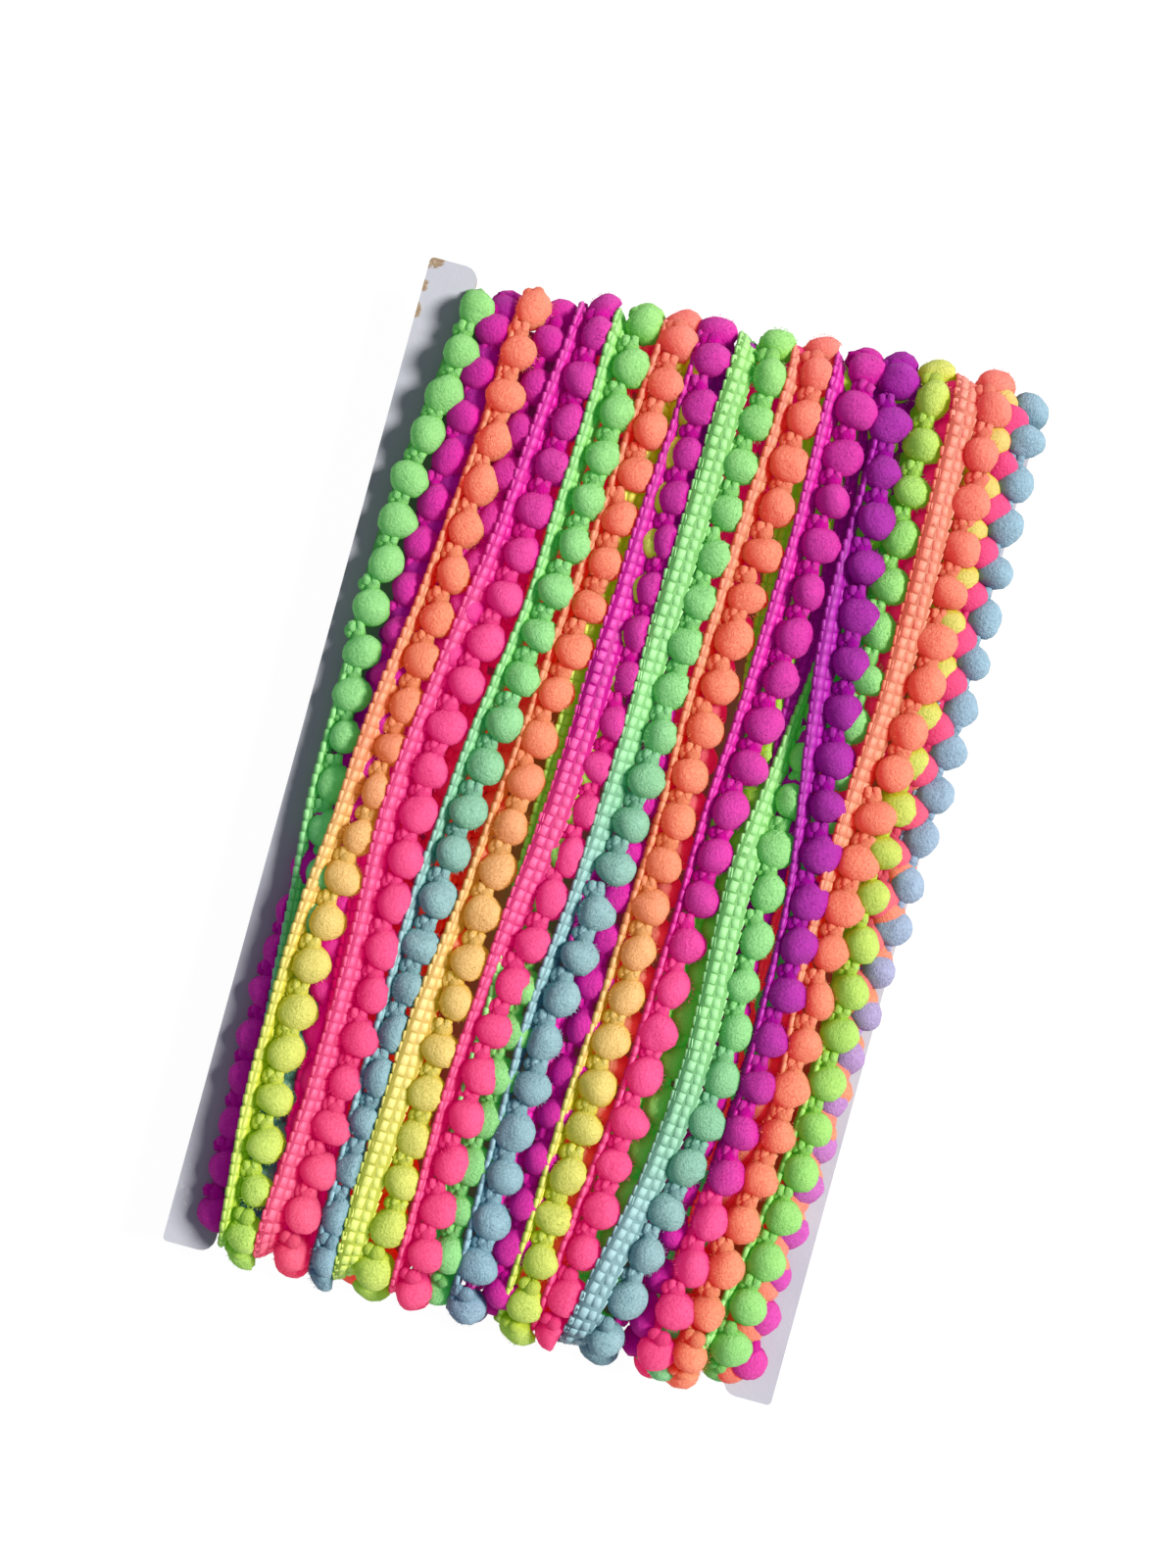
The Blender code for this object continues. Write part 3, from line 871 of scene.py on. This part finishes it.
def makeTrimFinish(name, look, shade):
    # the dye's colour at this place of the trim, with painted shade (darkened and fuller) from
    # the depth attribute and the crevices, and a painted glow that is brightest on the side
    # facing the sun
    finish = Finish(name)
    hue = finish.attribute("hue")
    depth = finish.attribute("depth")
    paintedShadeTotal = finish.math("MAXIMUM", depth, finish.creviceShade())
    paintedDarkening = finish.spread(depth, 0.0, 1.0, 1.0, 1.0 - look["shade"])
    lightness = finish.math("MULTIPLY", shade(finish), paintedDarkening)
    fuller = finish.spread(paintedShadeTotal, 0.0, 1.0, look["saturation"],
                           look["saturation"] + look["fuller"])
    base = finish.brighten(finish.ramp(trimColours, hue), lightness, fuller)
    # painted glow, brighter on the side facing the sun and dimmed in the painted shade
    daylight = finish.spread(finish.facing(paintedSunGlow["from"]), *paintedSunGlow["facing"],
                             *paintedSunGlow["strength"])
    dimmer = finish.spread(paintedShadeTotal, 0.0, 1.0, 1.0, 1.0 - look["dimmer"])
    glow = finish.brighten(finish.ramp(trimPaintedGlow, hue), finish.math("MULTIPLY", daylight, dimmer))
    finish.surface(Base_Color=base, Roughness=look["roughness"],
                   Specular_IOR_Level=look["specular"], Sheen_Weight=look["sheen"],
                   Emission_Color=glow, Emission_Strength=1.0)
    return finish


def makeVelvet():
    def shade(finish):
        speckle = finish.spread(finish.noise(*velvet["speckle"]), *noiseRange,
                                *velvet["speckleShade"])
        patches = finish.spread(finish.noise(*velvet["patches"]), *noiseRange,
                                *velvet["patchShade"])
        return finish.math("ADD", speckle, patches)

    finish = makeTrimFinish("pompomVelvet", velvet, shade)
    finish.surface(Sheen_Roughness=velvet["sheenRoughness"])
    finish.bump(finish.noise(*velvet["pile"]), velvet["bumpStrength"], velvet["bumpDistance"])
    return finish.material


def makeYarn():
    def shade(finish):
        return finish.spread(finish.noise(*yarn["fibres"]), *noiseRange, *yarn["fibreShade"])

    finish = makeTrimFinish("braidYarn", yarn, shade)
    finish.bump(finish.noise(*yarn["fibres"]), yarn["bumpStrength"], yarn["bumpDistance"])
    return finish.material


board = {
    "colour": (0.50, 0.50, 0.53),
    "dull": (0.43, 0.43, 0.47),
    "cloud": (45.0, 3.0, 0.5),
    "roughness": 0.42,
    # the bare core, seen on the edges and where the coating is torn off
    "coreColour": (0.24, 0.15, 0.08),
    "coreLight": (0.42, 0.32, 0.22),
    "coreFibres": (1400.0, 3.0, 0.8),
    "coreFibreRange": (0.35, 0.65),
    "coreRoughness": 0.95,
    "edgeFacing": (0.3, 0.6),
    # places where the coating is torn off: across, along, and how far
    "torn": ((-67.2, 110.2, 2.6), (-68.3, 103.5, 1.5), (-68.7, 98.0, 2.0), (-69.6, 94.0, 0.7)),
    "tornEdge": (1.45, 1.65),  # where it ends, as shares of how far it goes
    "ragged": (700.0, 4.0, 0.7),
    "raggedShare": 1.2,
    # the place where it is scuffed, the same way
    "scuffed": (-66.0, -100.0, 16.0),
    "scuffColour": (0.72, 0.72, 0.74),
    "scuffMost": 0.8,
    "streaks": (330.0, 4.0, 0.8),
    "streakRange": (0.55, 0.7),
    "grain": (900.0, 3.0, 0.5),
    "bumpStrength": 0.2,
    "bumpDistance": 0.0002,
}


def makeBoard():
    finish = Finish("coatedBoard")
    cloud = finish.spread(finish.noise(*board["cloud"]), *noiseRange, 0.0, 1.0)
    coat = finish.mix(cloud, board["dull"], board["colour"])
    across, along, reach = board["scuffed"]
    near = finish.spread(finish.nearness(across, along), 0.0, reach, board["scuffMost"], 0.0)
    streaks = finish.spread(finish.noise(*board["streaks"]), *board["streakRange"], 0.0, 1.0)
    coat = finish.mix(finish.math("MULTIPLY", near, streaks), coat, board["scuffColour"])
    ragged = finish.noise(*board["ragged"])
    torn = 0.0
    for across, along, reach in board["torn"]:
        notches = finish.math("MULTIPLY", ragged, reach * board["raggedShare"])
        gap = finish.math("ADD", finish.nearness(across, along), notches)
        start, end = (reach * share for share in board["tornEdge"])
        torn = finish.math("MAXIMUM", finish.spread(gap, start, end, 1.0, 0.0), torn)
    upright = finish.spread(finish.part("Normal", "Z"), *board["edgeFacing"], 1.0, 0.0)
    bare = finish.math("MAXIMUM", torn, upright)
    fibres = finish.noise(*board["coreFibres"])
    core = finish.mix(finish.spread(fibres, *board["coreFibreRange"], 0.0, 1.0),
                      board["coreColour"], board["coreLight"])
    roughness = finish.spread(bare, 0.0, 1.0, board["roughness"], board["coreRoughness"])
    finish.surface(Base_Color=finish.mix(bare, coat, core), Roughness=roughness)
    relief = finish.math("ADD", finish.noise(*board["grain"]),
                         finish.math("MULTIPLY", bare, fibres))
    finish.bump(relief, board["bumpStrength"], board["bumpDistance"])
    return finish.material


# Building it

velvetFinish = makeVelvet()
yarnFinish = makeYarn()
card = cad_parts["card"]
card.data.materials.clear()
card.data.materials.append(makeBoard())
print("finishes ready")

# how fine the pompoms and the ties are (0 for none), the sides of a stitch, every which stitch
# is made, and whether there is fuzz
Detail = namedtuple("Detail", "ball tie stitchSides stitchStep fuzz")
layers = {
    "seed": 7,
    "lowPaintedShade": 0.08,  # painted shade added to the lower layer and under the card
    "upperFront": Detail(3, 2, 8, 1, True),
    "lowerFront": Detail(3, 1, 6, 1, False),
    "upperBack": Detail(3, 1, 6, 1, False),
    "lowerBack": Detail(2, 0, 6, 2, False),
}


def dressLayer(name, runs, distances, rng):
    # every strand of one layer, each with the one to its right lying over it
    detail = layers[name]
    # painted shade for every layer but the upper front
    depth = 0.0 if detail.fuzz else layers["lowPaintedShade"]
    pompoms, ties, stitches, fuzz = (Heap(depth) for kind in range(4))
    ball = templateBall(detail.ball)
    tie = templateBall(detail.tie) if detail.tie else None
    for index, run in enumerate(runs):
        neighbour = runs[index + 1] if index + 1 < len(runs) else None
        axes = addPompoms(pompoms, run, neighbour, distances[index], ball, rng)
        if tie:
            addTies(ties, run, neighbour, distances[index], axes, tie, rng)
        addBraid(stitches, run, detail.stitchSides, detail.stitchStep, rng)
        if detail.fuzz:
            addFuzz(fuzz, run, neighbour, distances[index], axes, rng)
    makePiece(name + "Pompoms", pompoms, velvetFinish)
    if tie:
        makePiece(name + "Ties", ties, velvetFinish)
    makePiece(name + "Braid", stitches, yarnFinish)
    if detail.fuzz:
        makePiece(name + "Fuzz", fuzz, velvetFinish)
    return sum(endOf(run, True) + endOf(run, False) for run in runs)


rng = np.random.default_rng(layers["seed"])
trimLength = 0.0
for layerName, strands, inner in (("upper", upperStrands, False), ("lower", lowerStrands, True)):
    runs = [makeRun(strand, inner) for strand in strands]
    backRuns = [makeBackRun(*pair, inner) for pair in zip(strands[:-1], strands[1:])]
    for index, run in enumerate(runs + backRuns):
        run["sway"] = [start * index for start in braid["swayStarts"]]
    distances = [ballDistances(run) for run in runs]
    backs = [backDistances(run, runs[index + 1], runs[index])
             for index, run in enumerate(backRuns)]
    trimLength += dressLayer(layerName + "Front", runs, distances, rng)
    trimLength += dressLayer(layerName + "Back", backRuns, backs, rng)
print("trim length", round(trimLength * mm, 2), "m")


# Studio

studio = {
    "sunStrength": 5.2,
    "sunAngle": 18.0,  # degrees, how soft its shadows are
    "sunFrom": (0.76, 0.32, 0.79),
    "worldColour": (0.88, 0.90, 1.15),
    "worldStrength": 0.21,
    "floorHalf": 3.0,
    "floorColour": (0.06, 0.06, 0.06),
    "floorRoughness": 0.9,
    "floorGlow": 0.97,
}
camera = {
    "over": (-5.3, 9.1),  # point of the card under the camera
    "distance": 600.0,  # above the card
    "viewHeight": 338.3,  # how much of the card's plane the picture's height takes in
    "up": (-0.2635, 0.965, 0.0),
    "sensor": 36.0,
    "clip": (0.01, 20.0),  # metres
}


def makeFloor():
    half = studio["floorHalf"]
    corners = [(-half, -half, 0.0), (half, -half, 0.0), (half, half, 0.0), (-half, half, 0.0)]
    mesh = bpy.data.meshes.new("floor")
    mesh.from_pydata(corners, [], [(0, 1, 2, 3)])
    floor = bpy.data.objects.new("floor", mesh)
    bpy.context.scene.collection.objects.link(floor)
    finish = Finish("paleFloor")
    finish.surface(Base_Color=studio["floorColour"], Roughness=studio["floorRoughness"],
                   Emission_Color=(1.0, 1.0, 1.0), Emission_Strength=studio["floorGlow"])
    mesh.materials.append(finish.material)


def makeLights():
    sun = bpy.data.lights.new("window", "SUN")
    sun.energy = studio["sunStrength"]
    sun.angle = math.radians(studio["sunAngle"])
    holder = bpy.data.objects.new("window", sun)
    bpy.context.scene.collection.objects.link(holder)
    holder.rotation_euler = Vector(studio["sunFrom"]).to_track_quat("Z", "Y").to_euler()
    world = bpy.data.worlds.new("paleRoom")
    bpy.context.scene.world = world
    world.use_nodes = True
    background = world.node_tree.nodes["Background"]
    background.inputs["Color"].default_value = studio["worldColour"] + (1.0,)
    background.inputs["Strength"].default_value = studio["worldStrength"]
    bpy.context.scene.view_settings.view_transform = "Standard"


def makeCamera():
    lens = bpy.data.cameras.new("camera")
    lens.sensor_width = camera["sensor"]
    lens.lens = camera["sensor"] * camera["distance"] / camera["viewHeight"]
    lens.clip_start, lens.clip_end = camera["clip"]
    holder = bpy.data.objects.new("camera", lens)
    bpy.context.scene.collection.objects.link(holder)
    x, y = camera["over"]
    z = camera["distance"] + winding["cardTop"]
    up = Vector(camera["up"]).normalized()
    back = Vector((0.0, 0.0, 1.0))
    turn = Matrix((up.cross(back), up, back)).transposed().to_4x4()
    holder.matrix_world = Matrix.Translation(cardMiddle + Vector((x, y, z)) * mm) @ turn
    bpy.context.scene.camera = holder


makeFloor()
makeLights()
makeCamera()
print("studio ready")
